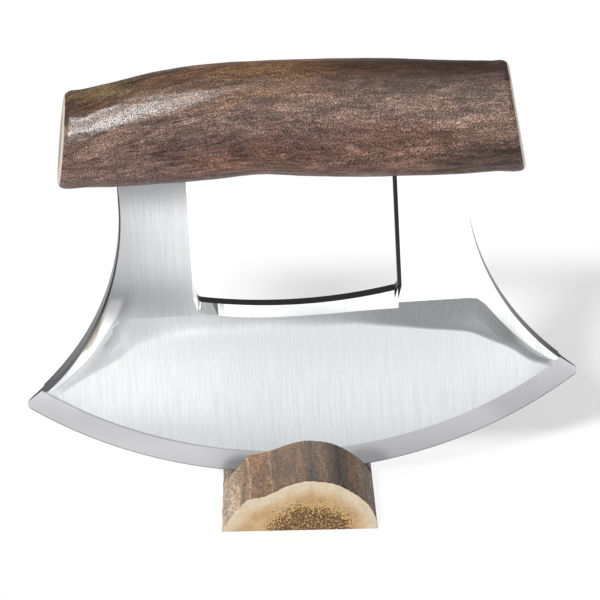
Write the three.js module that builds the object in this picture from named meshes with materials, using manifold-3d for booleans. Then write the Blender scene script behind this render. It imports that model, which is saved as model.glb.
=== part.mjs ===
import * as THREE from 'three';
import { mergeVertices } from 'three/addons/utils/BufferGeometryUtils.js';
import Module from 'manifold-3d';

// Ulu knife with an antler handle, standing edge down in the slot of an antler stand.
// Millimetres. The origin is the centre of the stand's flat base, +X runs along the blade,
// +Y away from the viewer and +Z up. The knife has a frame of its own: x from its centre
// line and z up from the lowest point of its cutting edge.

const wasm = await Module();
wasm.setup();

// Blade plan
const plateThickness = 4.4;
const edgeRadius = 126;
const tipReach = 76.6;
const tipRadius = 2;
const armHalfSpan = 47.6;
const flareTop = 87.2;
const windowHalfWidth = 27.7;
const windowBottom = 54;
const windowArcRadius = 140;
const windowCornerRadius = 1.6;
const tangPastHandleCentre = 1.6;
const tangCornerRadius = 2;

// Blade grinds, each the same on both faces
const bevelWidth = 7;
const bevelLineThickness = 1.6;
const edgeThickness = 0.2;
const hollowDropBelowWindow = 1.1;
const hollowDepth = 1.15;
const filletHeight = 9;
const hollowCornerBlend = 4;
const rimWidthAtArm = 5.3;
const rimWidthAtTip = 0.8;
const rimThinningAtTip = 0.6;
const rimThinningLength = 10;
const armChamferWidth = 1.1;
const armChamferDepth = 0.45;
const armChamferInHandle = 3;
const facetDrop = 3.7;
const facetSideRise = 0.6;
const facetDepthLeft = 0.6;
const facetDepthRight = 0.35;

// Handle, in the knife's frame
const handleLength = 123.6;
const handleHeight = 33.4;
const handleDepth = 27.4;
const handleCentreX = -0.2;
const handleCentreHeight = 109.4;
const handleEndRounding = 1.8;
const handleEndLean = 4.4;
const handleRidgeHeight = 0.9;
const mortiseDepthPastTang = 2;
const mortiseClearance = 1.4;
const resinGap = 0.3;

// Stand
const standWidth = 43.4;
const standHeight = 15.6;
const standLength = 50;
const standSlotWidth = 2.4;
const standSlotFloor = 4.3;
const standEdgeRounding = 0.5;

// How the knife stands in the slot
const seatGap = 0.3;
const knifeOffset = 3.1;
const knifeRoll = THREE.MathUtils.degToRad(2.75);

// One overrun for every cut
const overrun = 1;

// Solids

// A closed geometry as a manifold solid, with its seams merged.
function toSolid(geometry) {
  const bare = geometry.clone();
  bare.deleteAttribute('normal');
  bare.deleteAttribute('uv');
  const merged = mergeVertices(bare, plateThickness * 1e-5);
  return new wasm.Manifold(new wasm.Mesh({
    numProp: 3,
    vertProperties: new Float32Array(merged.attributes.position.array),
    triVerts: new Uint32Array(merged.index.array),
  }));
}

// A manifold solid as an indexed geometry.
function toGeometry(solid) {
  const mesh = solid.getMesh();
  const geometry = new THREE.BufferGeometry();
  geometry.setAttribute('position', new THREE.BufferAttribute(new Float32Array(mesh.vertProperties), 3));
  geometry.setIndex(new THREE.BufferAttribute(new Uint32Array(mesh.triVerts), 1));
  geometry.computeVertexNormals();
  return geometry;
}

// Six times the signed volume of a triangle list: negative when its faces point inwards.
function signedVolume(points, triangles) {
  let sum = 0;
  for (const [a, b, c] of triangles) {
    sum += points[a].dot(new THREE.Vector3().crossVectors(points[b], points[c]));
  }
  return sum;
}

// A solid from points and triangles, turned outwards if it was wound the other way.
function closedSolid(points, triangles) {
  const facing = signedVolume(points, triangles) < 0 ? triangles.map(([a, b, c]) => [a, c, b]) : triangles;
  const geometry = new THREE.BufferGeometry().setFromPoints(points);
  geometry.setIndex(facing.flat());
  return toSolid(geometry);
}

// A loft through rings with the same number of points, closed by a fan at each end.
function loft(rings) {
  const sides = rings[0].length;
  const points = rings.flat();
  const triangles = [];
  for (let ring = 0; ring + 1 < rings.length; ring += 1) {
    for (let side = 0; side < sides; side += 1) {
      const a = ring * sides + side;
      const b = ring * sides + (side + 1) % sides;
      triangles.push([a, b, b + sides], [a, b + sides, a + sides]);
    }
  }
  for (const [ring, first] of [[rings[0], 0], [rings.at(-1), points.length - sides]]) {
    const hub = ring.reduce((sum, point) => sum.add(point), new THREE.Vector3()).divideScalar(sides);
    const hubIndex = points.push(hub) - 1;
    for (let side = 0; side < sides; side += 1) {
      const pair = [first + side, first + (side + 1) % sides];
      triangles.push(first === 0 ? [pair[1], pair[0], hubIndex] : [pair[0], pair[1], hubIndex]);
    }
  }
  return closedSolid(points, triangles);
}

// The solid between two grids of points of the same size.
function slab(nearGrid, farGrid) {
  const rows = nearGrid.length;
  const columns = nearGrid[0].length;
  const points = [...nearGrid.flat(), ...farGrid.flat()];
  const near = (row, column) => row * columns + column;
  const far = (row, column) => rows * columns + near(row, column);
  const triangles = [];
  const quad = (a, b, c, d) => triangles.push([a, b, c], [a, c, d]);
  for (let row = 0; row + 1 < rows; row += 1) {
    for (let column = 0; column + 1 < columns; column += 1) {
      quad(near(row, column), near(row, column + 1), near(row + 1, column + 1), near(row + 1, column));
      quad(far(row + 1, column), far(row + 1, column + 1), far(row, column + 1), far(row, column));
    }
  }
  for (let row = 0; row + 1 < rows; row += 1) {
    const last = columns - 1;
    quad(near(row + 1, 0), far(row + 1, 0), far(row, 0), near(row, 0));
    quad(near(row, last), far(row, last), far(row + 1, last), near(row + 1, last));
  }
  for (let column = 0; column + 1 < columns; column += 1) {
    const last = rows - 1;
    quad(near(0, column), far(0, column), far(0, column + 1), near(0, column + 1));
    quad(near(last, column + 1), far(last, column + 1), far(last, column), near(last, column));
  }
  return closedSolid(points, triangles);
}

// Points on an arc in the x-z plane.
function arc(centre, radius, from, to, steps) {
  return Array.from({ length: steps + 1 }, (_, step) => {
    const angle = from + (to - from) * step / steps;
    return new THREE.Vector2(centre.x + radius * Math.cos(angle), centre.y + radius * Math.sin(angle));
  });
}

// A plan drawn in x and z as a plate of the given thickness, centred on y = 0.
function plate(outline, thickness) {
  const geometry = new THREE.ExtrudeGeometry(new THREE.Shape(outline), {
    depth: thickness,
    bevelEnabled: false,
  });
  geometry.rotateX(Math.PI / 2);
  geometry.translate(0, thickness / 2, 0);
  return toSolid(geometry);
}

// Blade plan

const edgeCentre = new THREE.Vector2(0, edgeRadius);

// The arc that rounds each tip touches the cutting edge from inside.
const tipCentre = new THREE.Vector2(
  tipReach - tipRadius,
  edgeRadius - Math.sqrt((edgeRadius - tipRadius) ** 2 - (tipReach - tipRadius) ** 2),
);
const tipAngle = Math.atan2(tipCentre.y - edgeRadius, tipCentre.x);
const shoulderAngle = THREE.MathUtils.degToRad(58);
const shoulder = new THREE.Vector2(
  tipCentre.x + tipRadius * Math.cos(shoulderAngle),
  tipCentre.y + tipRadius * Math.sin(shoulderAngle),
);

// The flare leaves the arm upright and reaches the shoulder of the tip.
const flareAcross = shoulder.x - armHalfSpan;
const flareDown = flareTop - shoulder.y;
const flareRadius = (flareAcross ** 2 + flareDown ** 2) / (2 * flareAcross);
const flareCentre = new THREE.Vector2(armHalfSpan + flareRadius, flareTop);

// The window's lower corner touches its side and its lower arc.
const windowArcCentre = new THREE.Vector2(0, windowBottom + windowArcRadius);
const windowCorner = new THREE.Vector2(
  windowHalfWidth - windowCornerRadius,
  windowArcCentre.y - Math.sqrt(
    (windowArcRadius - windowCornerRadius) ** 2 - (windowHalfWidth - windowCornerRadius) ** 2,
  ),
);
const windowCornerAngle = Math.atan2(windowCorner.y - windowArcCentre.y, windowCorner.x);

// The arms carry on into the handle as tangs.
const tangTop = handleCentreHeight + tangPastHandleCentre;

const edgeSteps = 36;
const tipSteps = 8;
const flareSteps = 26;

function bladeOutline() {
  const shoulderOnFlare = Math.atan2(shoulder.y - flareTop, shoulder.x - flareCentre.x);
  const tangShift = new THREE.Vector2(tangCornerRadius, 0);
  const outerCorner = new THREE.Vector2(armHalfSpan, tangTop - tangCornerRadius).sub(tangShift);
  const innerCorner = new THREE.Vector2(windowHalfWidth, tangTop - tangCornerRadius).add(tangShift);
  const rightHalf = [
    ...arc(edgeCentre, edgeRadius, -Math.PI / 2, tipAngle, edgeSteps),
    ...arc(tipCentre, tipRadius, tipAngle, shoulderAngle, tipSteps).slice(1),
    ...arc(flareCentre, flareRadius, shoulderOnFlare, -Math.PI, flareSteps).slice(1),
    ...arc(outerCorner, tangCornerRadius, 0, Math.PI / 2, 3),
    ...arc(innerCorner, tangCornerRadius, Math.PI / 2, Math.PI, 3),
    ...arc(windowCorner, windowCornerRadius, 0, windowCornerAngle, 4),
    ...arc(windowArcCentre, windowArcRadius, windowCornerAngle, -Math.PI / 2, 9).slice(1),
  ];
  const leftHalf = rightHalf.slice(1, -1).reverse().map((point) => new THREE.Vector2(-point.x, point.y));
  return [...rightHalf, ...leftHalf];
}

// Blade grinds

// Height of the bevel line, which runs inside the cutting edge, at a distance from the centre line.
const bevelLineZ = (x) => edgeRadius - Math.sqrt((edgeRadius - bevelWidth) ** 2 - x ** 2);

// Share of the way from the arm to the tip.
const towardTip = (x) => (Math.abs(x) - armHalfSpan) / (shoulder.x - armHalfSpan);

// The rim is left at full thickness along the flare, and is narrower near the tip.
function rimLineZ(x) {
  const rim = THREE.MathUtils.lerp(rimWidthAtArm, rimWidthAtTip, towardTip(x));
  const across = flareCentre.x - Math.abs(x);
  const reach = flareRadius + rim;
  return across < reach ? flareTop - Math.sqrt(reach ** 2 - across ** 2) : flareTop;
}

// The hollow's upper line is straight under the window and arms, and follows the rim to the tips.
function hollowTopZ(x) {
  const straight = windowBottom - hollowDropBelowWindow;
  const rim = rimLineZ(x);
  const mix = THREE.MathUtils.clamp(0.5 + 0.5 * (rim - straight) / hollowCornerBlend, 0, 1);
  const blended = THREE.MathUtils.lerp(rim, straight, mix) - hollowCornerBlend * mix * (1 - mix);
  return Math.max(blended, bevelLineZ(x) + bevelWidth * 0.15);
}

// Depth ground off the rim, which is thinner towards the tips. Negative is clear of the plate.
const rimDepth = (x) => rimThinningAtTip * (1 - (shoulder.x - Math.abs(x)) / rimThinningLength);

const filletSharpness = 2;
const filletShares = [0.07, 0.15, 0.24, 0.34, 0.46, 0.6, 0.78, 1];
const filletHeightShare = 0.32;

const bevelLineDepth = (plateThickness - bevelLineThickness) / 2;
const edgeDepth = (plateThickness - edgeThickness) / 2;

// Depth of the hollow below the plate's face at a point of the plan.
function hollowDepthAt(x, z) {
  const top = hollowTopZ(x);
  const bottom = bevelLineZ(x);
  const fillet = Math.min(filletHeight, filletHeightShare * (top - bottom));
  const base = Math.max(0, rimDepth(x));
  const along = THREE.MathUtils.clamp((top - z) / fillet, 0, 1);
  const floor = THREE.MathUtils.clamp((top - fillet - z) / (top - fillet - bottom), 0, 1);
  const filleted = base + (hollowDepth - base) * (1 - (1 - along) ** filletSharpness);
  return THREE.MathUtils.lerp(filleted, bevelLineDepth, floor);
}

// One column of the grind, from over the rim down past the cutting edge: [x, z, depth] rows.
function grindColumn(angle) {
  const radial = (radius) => [radius * Math.sin(angle), edgeRadius - radius * Math.cos(angle)];
  const [x, bevelZ] = radial(edgeRadius - bevelWidth);
  const top = hollowTopZ(x);
  const fillet = Math.min(filletHeight, filletHeightShare * (top - bevelZ));
  const rimOverrun = rimWidthAtArm + overrun;
  const pastEdge = edgeThickness * 2;
  const past = edgeDepth + (edgeDepth - bevelLineDepth) * pastEdge / bevelWidth;
  return [
    [x, top + rimOverrun, rimDepth(x)],
    [x, top, Math.max(0, rimDepth(x))],
    ...filletShares.map((share) => [x, top - share * fillet, hollowDepthAt(x, top - share * fillet)]),
    [x, bevelZ, bevelLineDepth],
    [...radial(edgeRadius), edgeDepth],
    [...radial(edgeRadius + pastEdge), past],
  ];
}

// What the wheel takes off one face. side is -1 for the front and 1 for the back.
function grindCutter(side) {
  const faceY = side * plateThickness / 2;
  const clearY = faceY + side * overrun;
  const halfAngle = Math.asin((tipReach + overrun) / (edgeRadius - bevelWidth));
  const columns = 2 * (edgeSteps + 2);
  const angles = Array.from({ length: columns + 1 }, (_, i) => halfAngle * (2 * i / columns - 1));
  const grid = angles.map(grindColumn);
  const ground = ([x, z, depth]) => new THREE.Vector3(x, faceY - side * depth, z);
  const clear = ([x, z]) => new THREE.Vector3(x, clearY, z);
  return slab(grid.map((column) => column.map(ground)), grid.map((column) => column.map(clear)));
}

// A strip cut along an edge of the window: each section runs from the wall, at a depth, to where
// the cut leaves the face, and both ends carry on past it.
function edgeStrip(sections, side) {
  const faceY = side * plateThickness / 2;
  const clearY = faceY + side * overrun;
  const past = (from, to, beyond) => {
    const length = Math.hypot(to.x - from.x, to.z - from.z);
    const share = beyond / length;
    return {
      x: to.x + (to.x - from.x) * share,
      z: to.z + (to.z - from.z) * share,
      depth: to.depth + (to.depth - from.depth) * share,
    };
  };
  const rows = sections.map(({ wall, face }) => [past(face, wall, overrun), past(wall, face, overrun / 2)]);
  const near = rows.map((row) => row.map((p) => new THREE.Vector3(p.x, faceY - side * p.depth, p.z)));
  const far = rows.map((row) => row.map((p) => new THREE.Vector3(p.x, clearY, p.z)));
  return slab(near, far);
}

// The bevel on an arm's inner edge, which fades out past the window's corner.
function armChamfer(hand, side) {
  const section = (z, widthShare) => ({
    wall: { x: hand * windowHalfWidth, z, depth: armChamferDepth * widthShare },
    face: { x: hand * (windowHalfWidth + armChamferWidth * widthShare), z, depth: 0 },
  });
  const top = handleCentreHeight - handleHeight / 2 + armChamferInHandle;
  const fade = windowCorner.y - facetDrop;
  return edgeStrip([section(top, 1), section(windowCorner.y, 1), section(fade, 0.1)], side);
}

// The facet along the window's lower edge, deeper and shorter on the left.
function windowFacet(side) {
  const steps = 30;
  const sections = Array.from({ length: steps + 1 }, (_, step) => {
    const share = step / steps;
    const x = THREE.MathUtils.lerp(-windowHalfWidth, windowHalfWidth, share);
    const wallZ = windowArcCentre.y - Math.sqrt(windowArcRadius ** 2 - x ** 2);
    const faceZ = windowBottom - facetDrop + facetSideRise * (x / windowHalfWidth) ** 2
      + (wallZ - windowBottom) * (1 - share);
    return {
      wall: { x, z: wallZ, depth: THREE.MathUtils.lerp(facetDepthLeft, facetDepthRight, share) },
      face: { x, z: faceZ, depth: hollowDepthAt(x, faceZ) },
    };
  });
  return edgeStrip(sections, side);
}

function bladeSolid() {
  let solid = plate(bladeOutline(), plateThickness);
  for (const side of [-1, 1]) {
    solid = solid.subtract(grindCutter(side));
    solid = solid.subtract(windowFacet(side));
    solid = solid.subtract(armChamfer(-1, side));
    solid = solid.subtract(armChamfer(1, side));
  }
  return solid;
}

// Handle

// Along the antler from the left end: place, centre height and half height, as shares of the
// length, the height and half the height.
const handleStationShares = [
  [0, -0.03, 0.82],
  [0.1, -0.015, 0.88],
  [0.2, 0.02, 0.95],
  [0.31, 0.045, 0.98],
  [0.43, 0.052, 0.955],
  [0.52, 0.035, 0.975],
  [0.62, 0.01, 1],
  [0.75, -0.015, 0.99],
  [0.88, -0.045, 0.94],
  [1, -0.065, 0.92],
];
const handleSides = 26;
const handleRings = 16;

// Smooth curves through the stations, from the place along the antler.
const handleCurve = new THREE.CatmullRomCurve3(
  handleStationShares.map((shares) => new THREE.Vector3(...shares)),
  false,
  'centripetal',
);

// One ring of the antler. along is the share of its length, inset draws the ring in.
function handleRing(along, inset) {
  const [, centreShare, halfShare] = handleCurve.getPoint(along).toArray();
  const place = handleCurve.getPoint(along).x;
  const centreZ = handleCentreHeight + centreShare * handleHeight;
  const halfHeight = halfShare * handleHeight / 2 - inset;
  const halfDepth = halfShare * handleDepth / 2 - inset;
  const ridgeAngle = Math.PI * (0.82 - 0.3 * place);
  return Array.from({ length: handleSides }, (_, side) => {
    const angle = 2 * Math.PI * side / handleSides;
    const ridge = handleRidgeHeight * Math.exp(-(((angle - ridgeAngle) / 0.35) ** 2));
    const y = (halfDepth + ridge) * Math.cos(angle);
    const z = (halfHeight + ridge) * Math.sin(angle);
    const lean = handleEndLean * (1 - 2 * place) * z / handleHeight;
    const x = handleCentreX + (place - 0.5) * handleLength + lean;
    return new THREE.Vector3(x, y, centreZ + z);
  });
}

// The antler with both ends sawn and eased.
function handleBlank() {
  const ease = handleEndRounding / handleLength;
  const ends = [[0, handleEndRounding * 0.8], [ease * 0.35, handleEndRounding * 0.28], [ease, 0]];
  const middle = Array.from({ length: handleRings - 1 }, (_, i) => [(i + 1) / handleRings, 0]);
  const places = [...ends, ...middle, ...ends.toReversed().map(([share, inset]) => [1 - share, inset])];
  return loft(places.map(([share, inset]) => handleRing(share, inset)));
}

// The two tangs, widened by a gap all round, as blocks: hand is -1 for the left and 1 for the right.
function tangBlock(hand, gap, rise) {
  const width = armHalfSpan - windowHalfWidth + 2 * gap;
  const depth = plateThickness + 2 * gap;
  const top = tangTop + rise;
  const bottom = handleCentreHeight - handleHeight;
  const block = new THREE.BoxGeometry(width, depth, top - bottom);
  block.translate(hand * (armHalfSpan + windowHalfWidth) / 2, 0, (top + bottom) / 2);
  return toSolid(block);
}

const mortise = (hand) => tangBlock(hand, mortiseClearance, mortiseDepthPastTang);

function handleSolid() {
  return handleBlank().subtract(mortise(-1)).subtract(mortise(1));
}

// Resin fills a mortise around its tang, flush with the antler's underside.
function tangEpoxySolid(hand) {
  const fill = tangBlock(hand, mortiseClearance - resinGap, mortiseDepthPastTang - resinGap);
  return fill.intersect(handleBlank()).subtract(tangBlock(hand, resinGap, resinGap));
}

// Stand

// The front of the antler slice from its left foot to its right foot, as shares of the half
// width and the height. The dip is a groove of the bark.
const archShares = [
  [-1, 0],
  [-0.97, 0.1],
  [-0.88, 0.31],
  [-0.75, 0.53],
  [-0.68, 0.64],
  [-0.57, 0.68],
  [-0.45, 0.71],
  [-0.31, 0.81],
  [-0.15, 0.92],
  [0.08, 1],
  [0.38, 0.96],
  [0.58, 0.84],
  [0.75, 0.67],
  [0.88, 0.49],
  [0.97, 0.24],
  [1, 0],
];

// From the front to the back: place, width and height, as shares of the slice's own sizes. The
// right flank runs straight back, so what the width loses it loses on the left.
const standSectionShares = [
  [0, 1, 1],
  [0.25, 0.99, 0.985],
  [0.5, 0.975, 0.975],
  [0.75, 0.965, 0.97],
  [1, 0.955, 0.96],
];
const archSteps = 26;

function standRing(place, widthShare, heightShare, inset) {
  const spline = new THREE.SplineCurve(archShares.map((shares) => new THREE.Vector2(...shares)));
  const halfWidth = widthShare * standWidth / 2 - inset;
  const height = heightShare * standHeight - inset;
  const shift = (1 - widthShare) * standWidth / 2;
  const y = (place - 0.5) * standLength;
  return spline.getPoints(archSteps).map(
    (shares) => new THREE.Vector3(shift + shares.x * halfWidth, y, Math.max(shares.y, 0) * height),
  );
}

function standSolid() {
  const ease = standEdgeRounding / standLength;
  const [front, ...rest] = standSectionShares;
  const back = rest.pop();
  const rings = [
    standRing(...front, standEdgeRounding),
    standRing(ease, front[1], front[2], 0),
    ...rest.map((shares) => standRing(...shares, 0)),
    standRing(1 - ease, back[1], back[2], 0),
    standRing(...back, standEdgeRounding),
  ];
  const slotHeight = 2 * standHeight;
  const slot = new THREE.BoxGeometry(standWidth + 2 * overrun, standSlotWidth, slotHeight);
  slot.translate(0, 0, standSlotFloor + slotHeight / 2);
  return loft(rings).subtract(toSolid(slot));
}

// Scene graph

const steel = new THREE.MeshStandardMaterial({ color: 0xc9cbce, roughness: 0.28, metalness: 1 });
const antlerBark = new THREE.MeshStandardMaterial({ color: 0x6b4630, roughness: 0.45, metalness: 0 });
const standBark = new THREE.MeshStandardMaterial({ color: 0x8a6a48, roughness: 0.5, metalness: 0 });
const resin = new THREE.MeshStandardMaterial({ color: 0x4a3a28, roughness: 0.3, metalness: 0 });

function piece(name, solid, material) {
  const mesh = new THREE.Mesh(toGeometry(solid), material.clone());
  mesh.name = name;
  return mesh;
}

const knife = new THREE.Group();
knife.add(
  piece('blade', bladeSolid(), steel),
  piece('handle', handleSolid(), antlerBark),
  piece('left_tang_epoxy', tangEpoxySolid(-1), resin),
  piece('right_tang_epoxy', tangEpoxySolid(1), resin),
);

// The lowest point of the rolled edge stays a seat gap above the slot's floor.
knife.position.set(knifeOffset, 0, standSlotFloor + seatGap + edgeRadius * (1 - Math.cos(knifeRoll)));
knife.rotation.y = -knifeRoll;

const ulu = new THREE.Group();
ulu.add(knife, piece('stand', standSolid(), standBark));

export default ulu;
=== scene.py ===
import math

import bmesh
import bpy
from mathutils import Matrix, Vector
from mathutils.kdtree import KDTree


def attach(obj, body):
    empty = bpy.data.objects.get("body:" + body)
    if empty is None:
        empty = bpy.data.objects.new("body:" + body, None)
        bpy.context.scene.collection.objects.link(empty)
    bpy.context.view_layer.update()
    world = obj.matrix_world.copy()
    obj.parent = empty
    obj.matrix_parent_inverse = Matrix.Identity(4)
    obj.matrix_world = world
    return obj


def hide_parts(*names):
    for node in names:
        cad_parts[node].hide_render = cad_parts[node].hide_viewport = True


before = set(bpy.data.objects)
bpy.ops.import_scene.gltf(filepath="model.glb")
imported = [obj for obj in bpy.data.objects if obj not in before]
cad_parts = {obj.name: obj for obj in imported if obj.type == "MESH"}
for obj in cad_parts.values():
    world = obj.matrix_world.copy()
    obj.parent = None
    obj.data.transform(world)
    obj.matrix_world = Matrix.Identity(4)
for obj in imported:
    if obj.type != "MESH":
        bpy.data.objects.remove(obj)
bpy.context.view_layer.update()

# Ulu knife in its antler stand. Metres, +Z up, the stand's base centre at the origin.
mm = 0.001
slack = 0.01 * mm

# The knife stands a little rolled in its slot. It is modelled upright in a frame of its own,
# x from its centre line and z up from the lowest point of its edge, and then put in place.
knifeRoll = math.radians(2.75)
knifeFoot = Vector((3.1, 0, 4.745)) * mm
knifePlace = Matrix.Translation(knifeFoot) @ Matrix.Rotation(-knifeRoll, 4, "Y")
toKnife = knifePlace.inverted()


def deselectAll():
    if bpy.context.mode != "OBJECT":
        objectMode()
    bpy.ops.object.select_all(action="DESELECT")


def makeActive(obj):
    deselectAll()
    obj.select_set(True)
    bpy.context.view_layer.objects.active = obj
    return obj


def editAll(kind="VERT"):
    bpy.ops.object.mode_set(mode="EDIT")
    bpy.ops.mesh.select_mode(type=kind)
    bpy.ops.mesh.select_all(action="SELECT")


def objectMode():
    bpy.ops.object.mode_set(mode="OBJECT")


def addObject(name, data):
    obj = bpy.data.objects.new(name, data)
    bpy.context.scene.collection.objects.link(obj)
    return obj


# In edit mode, only the faces that pass the test are left selected.
def pickFaces(obj, test):
    bpy.ops.mesh.select_mode(type="FACE")
    bpy.ops.mesh.select_all(action="DESELECT")
    mesh = bmesh.from_edit_mesh(obj.data)
    mesh.faces.ensure_lookup_table()
    for face in mesh.faces:
        face.select_set(bool(test(face)))
    bmesh.update_edit_mesh(obj.data)


def applyModifiers(obj):
    makeActive(obj)
    for name in [modifier.name for modifier in obj.modifiers]:
        bpy.ops.object.modifier_apply(modifier=name)


# Places an upright knife piece and leaves its object at the origin, unturned.
def standWithKnife(obj):
    makeActive(obj)
    obj.matrix_world = knifePlace
    bpy.ops.object.transform_apply(location=True, rotation=True, scale=True)


def cutWith(obj, cutter):
    modifier = obj.modifiers.new("cut", "BOOLEAN")
    modifier.operation = "DIFFERENCE"
    modifier.solver = "MANIFOLD"
    modifier.object = cutter
    applyModifiers(obj)
    bpy.data.objects.remove(cutter)


def addBlock(size, centre):
    deselectAll()
    bpy.ops.mesh.primitive_cube_add(size=1, location=centre)
    block = bpy.context.object
    block.scale = size
    bpy.ops.object.transform_apply(location=True, rotation=False, scale=True)
    return block


# A smooth curve through stations, each of them its place and then its values there.
def atPlace(stations, place):
    last = len(stations) - 1
    i = max([k for k in range(last) if stations[k][0] <= place] or [0])
    here, there = stations[i], stations[i + 1]
    before, after = stations[max(i - 1, 0)], stations[min(i + 2, last)]
    span = there[0] - here[0]
    t = (place - here[0]) / span
    values = []
    for k in range(1, len(here)):
        leaving = (there[k] - before[k]) / (there[0] - before[0]) * span
        arriving = (after[k] - here[k]) / (after[0] - here[0]) * span
        values.append(
            (2 * t**3 - 3 * t**2 + 1) * here[k] + (t**3 - 2 * t**2 + t) * leaving
            + (3 * t**2 - 2 * t**3) * there[k] + (t**3 - t**2) * arriving
        )
    return values


# Pushes the skin in by a cloud pattern drawn out along the knife, never out past its outline.
def carve(obj, grain, drawnOut, depth, octaves, group):
    texture = bpy.data.textures.new("carving", "CLOUDS")
    texture.noise_scale = 1
    texture.noise_depth = octaves
    deselectAll()
    bpy.ops.object.empty_add(rotation=(0, -knifeRoll, 0))
    ruler = bpy.context.object
    ruler.scale = (grain * drawnOut, grain, grain)
    modifier = obj.modifiers.new("carve", "DISPLACE")
    modifier.texture = texture
    modifier.texture_coords = "OBJECT"
    modifier.texture_coords_object = ruler
    modifier.mid_level = 1
    modifier.strength = depth
    modifier.vertex_group = group
    applyModifiers(obj)
    bpy.data.objects.remove(ruler)


# Keeps values on a mesh's points, where a material reads them.
def keepOn(mesh, name, values, kind="FLOAT", part="value"):
    mesh.attributes.new(name, kind, "POINT").data.foreach_set(part, values)


def setFinishes(obj, names, choose):
    obj.data.materials.clear()
    for name in names:
        obj.data.materials.append(materials[name])
    for polygon in obj.data.polygons:
        polygon.material_index = choose(polygon)


# Node helpers

nodeSpacing = 190


def addNode(tree, kind, inputs=None, **settings):
    node = tree.nodes.new(kind)
    node.location = (nodeSpacing * len(tree.nodes), 0)
    for name, value in settings.items():
        setattr(node, name, value)
    for name, value in (inputs or {}).items():
        if isinstance(value, bpy.types.NodeSocket):
            tree.links.new(value, node.inputs[name])
        else:
            node.inputs[name].default_value = value
    return node


# A tone from its red, green and blue as a screen counts them.
def colour(*screen):
    shares = [value / 255 for value in screen]
    linear = [v / 12.92 if v <= 0.04045 else ((v + 0.055) / 1.055) ** 2.4 for v in shares]
    return (*linear, 1)


def mixed(tree, amount, first, second, blend="MIX"):
    inputs = {0: amount, 6: first, 7: second}
    return addNode(tree, "ShaderNodeMix", inputs, data_type="RGBA", blend_type=blend).outputs[2]


def between(tree, amount, first, second):
    return addNode(tree, "ShaderNodeMix", {0: amount, 2: first, 3: second}).outputs[0]


def maths(tree, operation, first, second=0.0, clamp=False):
    inputs = {0: first, 1: second}
    return addNode(tree, "ShaderNodeMath", inputs, operation=operation, use_clamp=clamp).outputs[0]


def product(tree, first, *others):
    for other in others:
        first = maths(tree, "MULTIPLY", first, other)
    return first


def vectorMaths(tree, operation, first, second):
    inputs = {0: first, 1: second}
    return addNode(tree, "ShaderNodeVectorMath", inputs, operation=operation).outputs[0]


def ranged(tree, value, low, high, toLow=0.0, toHigh=1.0):
    inputs = {0: value, 1: low, 2: high, 3: toLow, 4: toHigh}
    return addNode(tree, "ShaderNodeMapRange", inputs, interpolation_type="SMOOTHSTEP").outputs[0]


def ramp(tree, value, stops):
    node = addNode(tree, "ShaderNodeValToRGB", {0: value})
    elements = node.color_ramp.elements
    while len(elements) < len(stops):
        elements.new(0.5)
    for element, (place, tone) in zip(elements, stops):
        element.position = place
        element.color = (*tone[:3], 1)
    return node.outputs[0]


def noise(tree, vector, scale, detail=4.0, roughness=0.55, distortion=0.0, output=0):
    inputs = {
        "Vector": vector, "Scale": scale, "Detail": detail, "Roughness": roughness, "Distortion": distortion,
    }
    return addNode(tree, "ShaderNodeTexNoise", inputs).outputs[output]


def mapping(tree, vector, location=(0, 0, 0), rotation=(0, 0, 0), scale=(1, 1, 1)):
    inputs = {"Vector": vector, "Location": location, "Rotation": rotation, "Scale": scale}
    return addNode(tree, "ShaderNodeMapping", inputs).outputs[0]


def emission(tree, strength):
    return addNode(tree, "ShaderNodeEmission", {"Strength": strength}).outputs[0]


def blended(tree, amount, first, second):
    return addNode(tree, "ShaderNodeMixShader", {0: amount, 1: first, 2: second}).outputs[0]


def meshValue(tree, name, output="Fac"):
    return addNode(tree, "ShaderNodeAttribute", attribute_name=name).outputs[output]


def separated(tree, vector):
    return addNode(tree, "ShaderNodeSeparateXYZ", {0: vector}).outputs


# An input without a value is a vector.
def newGroup(name, inputs, outputs):
    group = bpy.data.node_groups.new(name, "ShaderNodeTree")
    for label, value in inputs.items():
        kind = "NodeSocketVector" if value is None else "NodeSocketFloat"
        socket = group.interface.new_socket(label, in_out="INPUT", socket_type=kind)
        if value is not None:
            socket.default_value = value
    for label in outputs:
        kind = "NodeSocketColor" if label == "Color" else "NodeSocketFloat"
        group.interface.new_socket(label, in_out="OUTPUT", socket_type=kind)
    return group, group.nodes.new("NodeGroupInput").outputs, group.nodes.new("NodeGroupOutput").inputs


def placeGroup(tree, group, inputs):
    return addNode(tree, "ShaderNodeGroup", inputs, node_tree=group).outputs


def newMaterial(name):
    material = bpy.data.materials.new(name)
    material.use_nodes = True
    tree = material.node_tree
    shader = tree.nodes["Principled BSDF"]
    coordinates = tree.nodes.new("ShaderNodeTexCoord").outputs["Object"]
    return material, tree, shader, coordinates


def surfaced(tree, shader, tone, rough, height, distance, strength=1.0):
    tree.links.new(tone, shader.inputs["Base Color"])
    tree.links.new(rough, shader.inputs["Roughness"])
    bump = addNode(tree, "ShaderNodeBump", {"Height": height, "Distance": distance, "Strength": strength})
    tree.links.new(bump.outputs[0], shader.inputs["Normal"])


# A soft patch round a place, 1 at its centre and 0 from its size outwards.
def spot(tree, vector, centre, size):
    share = [1 / side for side in size]
    moved = [-c * f for c, f in zip(centre, share)]
    turned = mapping(tree, vector, location=moved, scale=share)
    ball = addNode(tree, "ShaderNodeTexGradient", {"Vector": turned}, gradient_type="SPHERICAL")
    return ranged(tree, ball.outputs[1], 0, 0.6)


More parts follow.
